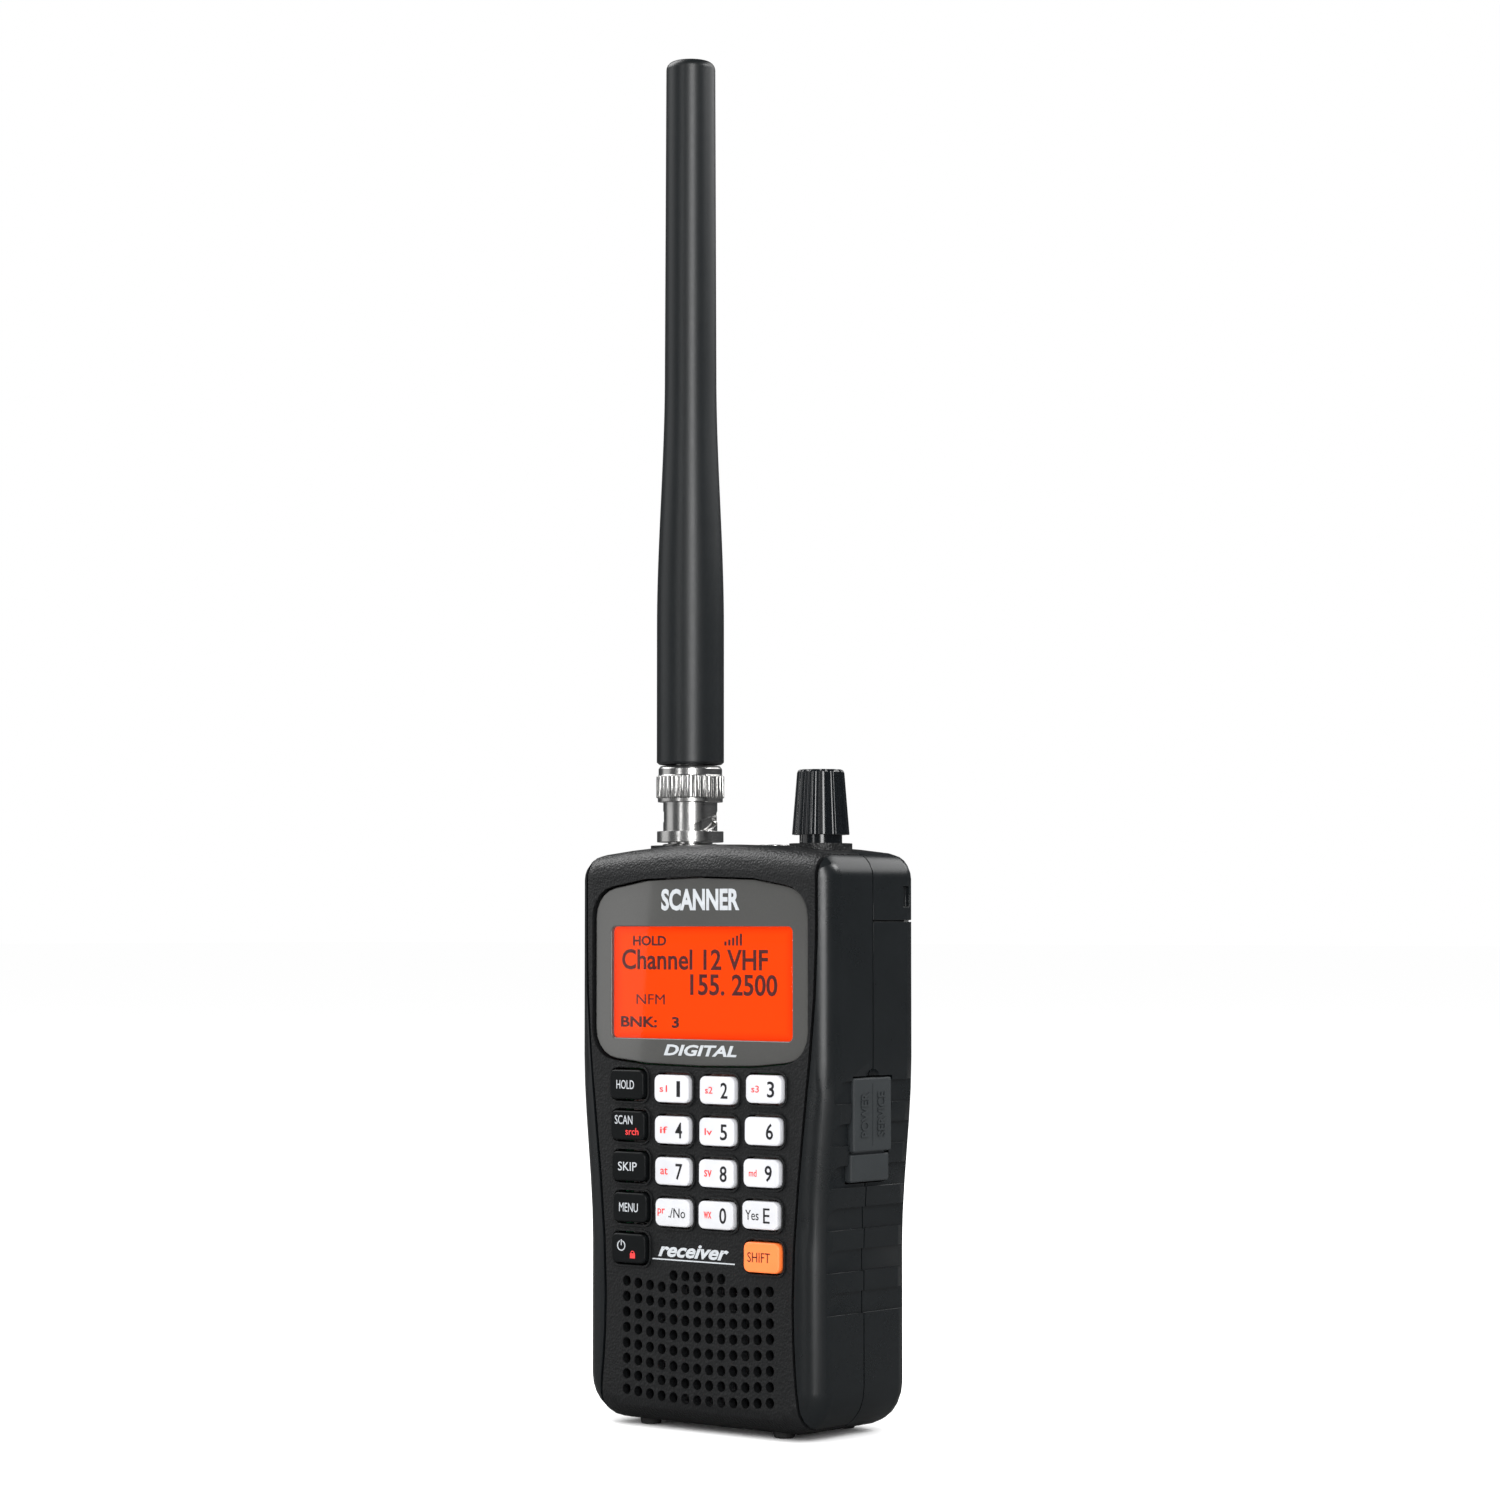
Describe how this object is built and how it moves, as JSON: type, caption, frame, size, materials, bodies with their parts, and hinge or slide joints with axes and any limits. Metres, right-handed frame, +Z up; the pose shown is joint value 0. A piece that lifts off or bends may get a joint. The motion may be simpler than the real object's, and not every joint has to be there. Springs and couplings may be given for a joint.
{
  "type": "handheld radio scanner",
  "caption": "Handheld radio scanner with a whip antenna on a bayonet connector, lit display, keypad, speaker grille, control knob and removable battery door.",
  "frame": {"origin": "centre of the overall box's base, on the surface that the feet stand on", "axes": "+Z up along the antenna, -Y out of the front panel, +X towards the knob and the jack cover"},
  "size_m": [0.0644, 0.0384, 0.2748],
  "materials": {
    "panel_plastic": "fine moulded texture, near black",
    "case_plastic": "satin black",
    "lens": "polished, grey printed border",
    "lcd": "lit orange-red",
    "frame_plastic": "moulded",
    "membrane_rubber": "matte",
    "circuit_board": "lacquered",
    "pale_key": "satin, printed legends",
    "dark_key": "satin, printed legends",
    "orange_key": "satin, printed legend",
    "speaker_metal": "plated",
    "speaker_paper": "matte",
    "nickel": "polished nickel plate",
    "insulator": "matte",
    "antenna_rubber": "satin black",
    "copper": "bare wire",
    "knob_plastic": "gloss black",
    "cover_rubber": "matte dark grey",
    "foot_rubber": "matte",
    "cell_jacket": "printed sleeve",
    "steel": "plated"
  },
  "bodies": {
    "radio": {"front_panel": "panel_plastic", "side_grip_left": "case_plastic", "side_grip_right": "case_plastic", "rear_shell": "case_plastic", "display_lens": "lens", "lcd_panel": "lcd", "lcd_holder": "frame_plastic", "side_socket_block": "frame_plastic", "keypad_membrane": "membrane_rubber", "main_board": "circuit_board", "speaker_frame": "speaker_metal", "speaker_cone": "speaker_paper", "bnc_jack": "nickel", "bnc_insulator": "insulator", "bnc_panel_nut": "nickel", "phones_jack": "nickel", "encoder_housing": "steel", "jack_cover_anchor": "cover_rubber", "foot_front_left": "foot_rubber", "foot_front_right": "foot_rubber", "battery_cell_1": "cell_jacket", "battery_cell_2": "cell_jacket", "battery_link_contact": "steel", "battery_spring": "steel", "battery_plate": "steel", "case_screw_left": "steel", "case_screw_right": "steel"},
    "encoder_rotor": {"encoder_rotor": "steel"},
    "knob": {"control_knob": "knob_plastic", "encoder_shaft": "steel"},
    "antenna": {"plug_body": "nickel", "antenna_sleeve": "antenna_rubber", "antenna_coil": "copper"},
    "coupling_nut": {"coupling_nut": "nickel"},
    "jack_cover": {"jack_cover_flap": "cover_rubber"},
    "battery_door": {"battery_door": "case_plastic", "clip_base": "case_plastic", "clip_pin": "steel", "clip_spring": "steel", "foot_rear_left": "foot_rubber", "foot_rear_right": "foot_rubber"},
    "belt_clip": {"clip_lever": "case_plastic"},
    "key_hold": {"key_hold": "dark_key"},
    "key_1": {"key_1": "pale_key"},
    "key_2": {"key_2": "pale_key"},
    "key_3": {"key_3": "pale_key"},
    "key_scan": {"key_scan": "dark_key"},
    "key_4": {"key_4": "pale_key"},
    "key_5": {"key_5": "pale_key"},
    "key_6": {"key_6": "pale_key"},
    "key_lockout": {"key_lockout": "dark_key"},
    "key_7": {"key_7": "pale_key"},
    "key_8": {"key_8": "pale_key"},
    "key_9": {"key_9": "pale_key"},
    "key_menu": {"key_menu": "dark_key"},
    "key_no": {"key_no": "pale_key"},
    "key_0": {"key_0": "pale_key"},
    "key_yes": {"key_yes": "pale_key"},
    "key_power": {"key_power": "dark_key"},
    "key_function": {"key_function": "orange_key"}
  },
  "joints": [
    {"name": "key_hold_press", "type": "slide", "parent": "radio", "child": "key_hold", "axis": [0, 1, 0], "range_m": [0, 0.0008], "stiffness_N_per_m": 250, "springref_m": -0.0004},
    {"name": "key_1_press", "type": "slide", "parent": "radio", "child": "key_1", "axis": [0, 1, 0], "range_m": [0, 0.0008], "stiffness_N_per_m": 250, "springref_m": -0.0004},
    {"name": "key_2_press", "type": "slide", "parent": "radio", "child": "key_2", "axis": [0, 1, 0], "range_m": [0, 0.0008], "stiffness_N_per_m": 250, "springref_m": -0.0004},
    {"name": "key_3_press", "type": "slide", "parent": "radio", "child": "key_3", "axis": [0, 1, 0], "range_m": [0, 0.0008], "stiffness_N_per_m": 250, "springref_m": -0.0004},
    {"name": "key_scan_press", "type": "slide", "parent": "radio", "child": "key_scan", "axis": [0, 1, 0], "range_m": [0, 0.0008], "stiffness_N_per_m": 250, "springref_m": -0.0004},
    {"name": "key_4_press", "type": "slide", "parent": "radio", "child": "key_4", "axis": [0, 1, 0], "range_m": [0, 0.0008], "stiffness_N_per_m": 250, "springref_m": -0.0004},
    {"name": "key_5_press", "type": "slide", "parent": "radio", "child": "key_5", "axis": [0, 1, 0], "range_m": [0, 0.0008], "stiffness_N_per_m": 250, "springref_m": -0.0004},
    {"name": "key_6_press", "type": "slide", "parent": "radio", "child": "key_6", "axis": [0, 1, 0], "range_m": [0, 0.0008], "stiffness_N_per_m": 250, "springref_m": -0.0004},
    {"name": "key_lockout_press", "type": "slide", "parent": "radio", "child": "key_lockout", "axis": [0, 1, 0], "range_m": [0, 0.0008], "stiffness_N_per_m": 250, "springref_m": -0.0004},
    {"name": "key_7_press", "type": "slide", "parent": "radio", "child": "key_7", "axis": [0, 1, 0], "range_m": [0, 0.0008], "stiffness_N_per_m": 250, "springref_m": -0.0004},
    {"name": "key_8_press", "type": "slide", "parent": "radio", "child": "key_8", "axis": [0, 1, 0], "range_m": [0, 0.0008], "stiffness_N_per_m": 250, "springref_m": -0.0004},
    {"name": "key_9_press", "type": "slide", "parent": "radio", "child": "key_9", "axis": [0, 1, 0], "range_m": [0, 0.0008], "stiffness_N_per_m": 250, "springref_m": -0.0004},
    {"name": "key_menu_press", "type": "slide", "parent": "radio", "child": "key_menu", "axis": [0, 1, 0], "range_m": [0, 0.0008], "stiffness_N_per_m": 250, "springref_m": -0.0004},
    {"name": "key_no_press", "type": "slide", "parent": "radio", "child": "key_no", "axis": [0, 1, 0], "range_m": [0, 0.0008], "stiffness_N_per_m": 250, "springref_m": -0.0004},
    {"name": "key_0_press", "type": "slide", "parent": "radio", "child": "key_0", "axis": [0, 1, 0], "range_m": [0, 0.0008], "stiffness_N_per_m": 250, "springref_m": -0.0004},
    {"name": "key_yes_press", "type": "slide", "parent": "radio", "child": "key_yes", "axis": [0, 1, 0], "range_m": [0, 0.0008], "stiffness_N_per_m": 250, "springref_m": -0.0004},
    {"name": "key_power_press", "type": "slide", "parent": "radio", "child": "key_power", "axis": [0, 1, 0], "range_m": [0, 0.0008], "stiffness_N_per_m": 250, "springref_m": -0.0004},
    {"name": "key_function_press", "type": "slide", "parent": "radio", "child": "key_function", "axis": [0, 1, 0], "range_m": [0, 0.0008], "stiffness_N_per_m": 250, "springref_m": -0.0004},
    {"name": "knob_turn", "type": "hinge", "parent": "radio", "child": "encoder_rotor", "pos_m": [0.0186, -0.00255, 0.106], "axis": [0, 0, 1], "continuous": true},
    {"name": "knob_push", "type": "slide", "parent": "encoder_rotor", "child": "knob", "axis": [0, 0, -1], "range_m": [0, 0.0006], "stiffness_N_per_m": 400, "springref_m": -0.002},
    {"name": "antenna_rise", "type": "slide", "parent": "radio", "child": "antenna", "axis": [0, 0, 1], "range_m": [0, 0.0025]},
    {"name": "nut_twist", "type": "hinge", "parent": "antenna", "child": "coupling_nut", "pos_m": [-0.0156, -0.00175, 0.121], "axis": [0, 0, 1], "range_deg": [0, 75]},
    {"name": "cover_swing", "type": "hinge", "parent": "radio", "child": "jack_cover", "pos_m": [0.0319, -0.00355, 0.05555], "axis": [0, 1, 0], "range_deg": [0, 120]},
    {"name": "door_slide", "type": "slide", "parent": "radio", "child": "battery_door", "axis": [0, 1, 0], "range_m": [0, 0.025]},
    {"name": "clip_swing", "type": "hinge", "parent": "battery_door", "child": "belt_clip", "pos_m": [0, 0.01585, 0.085], "axis": [1, 0, 0], "range_deg": [0, 18], "stiffness_Nm_per_rad": 0.06, "springref_deg": -11.46}
  ],
  "couplings": [
    {"joint": "nut_twist", "follows": "antenna_rise", "rad_per_m": 523.6}
  ]
}
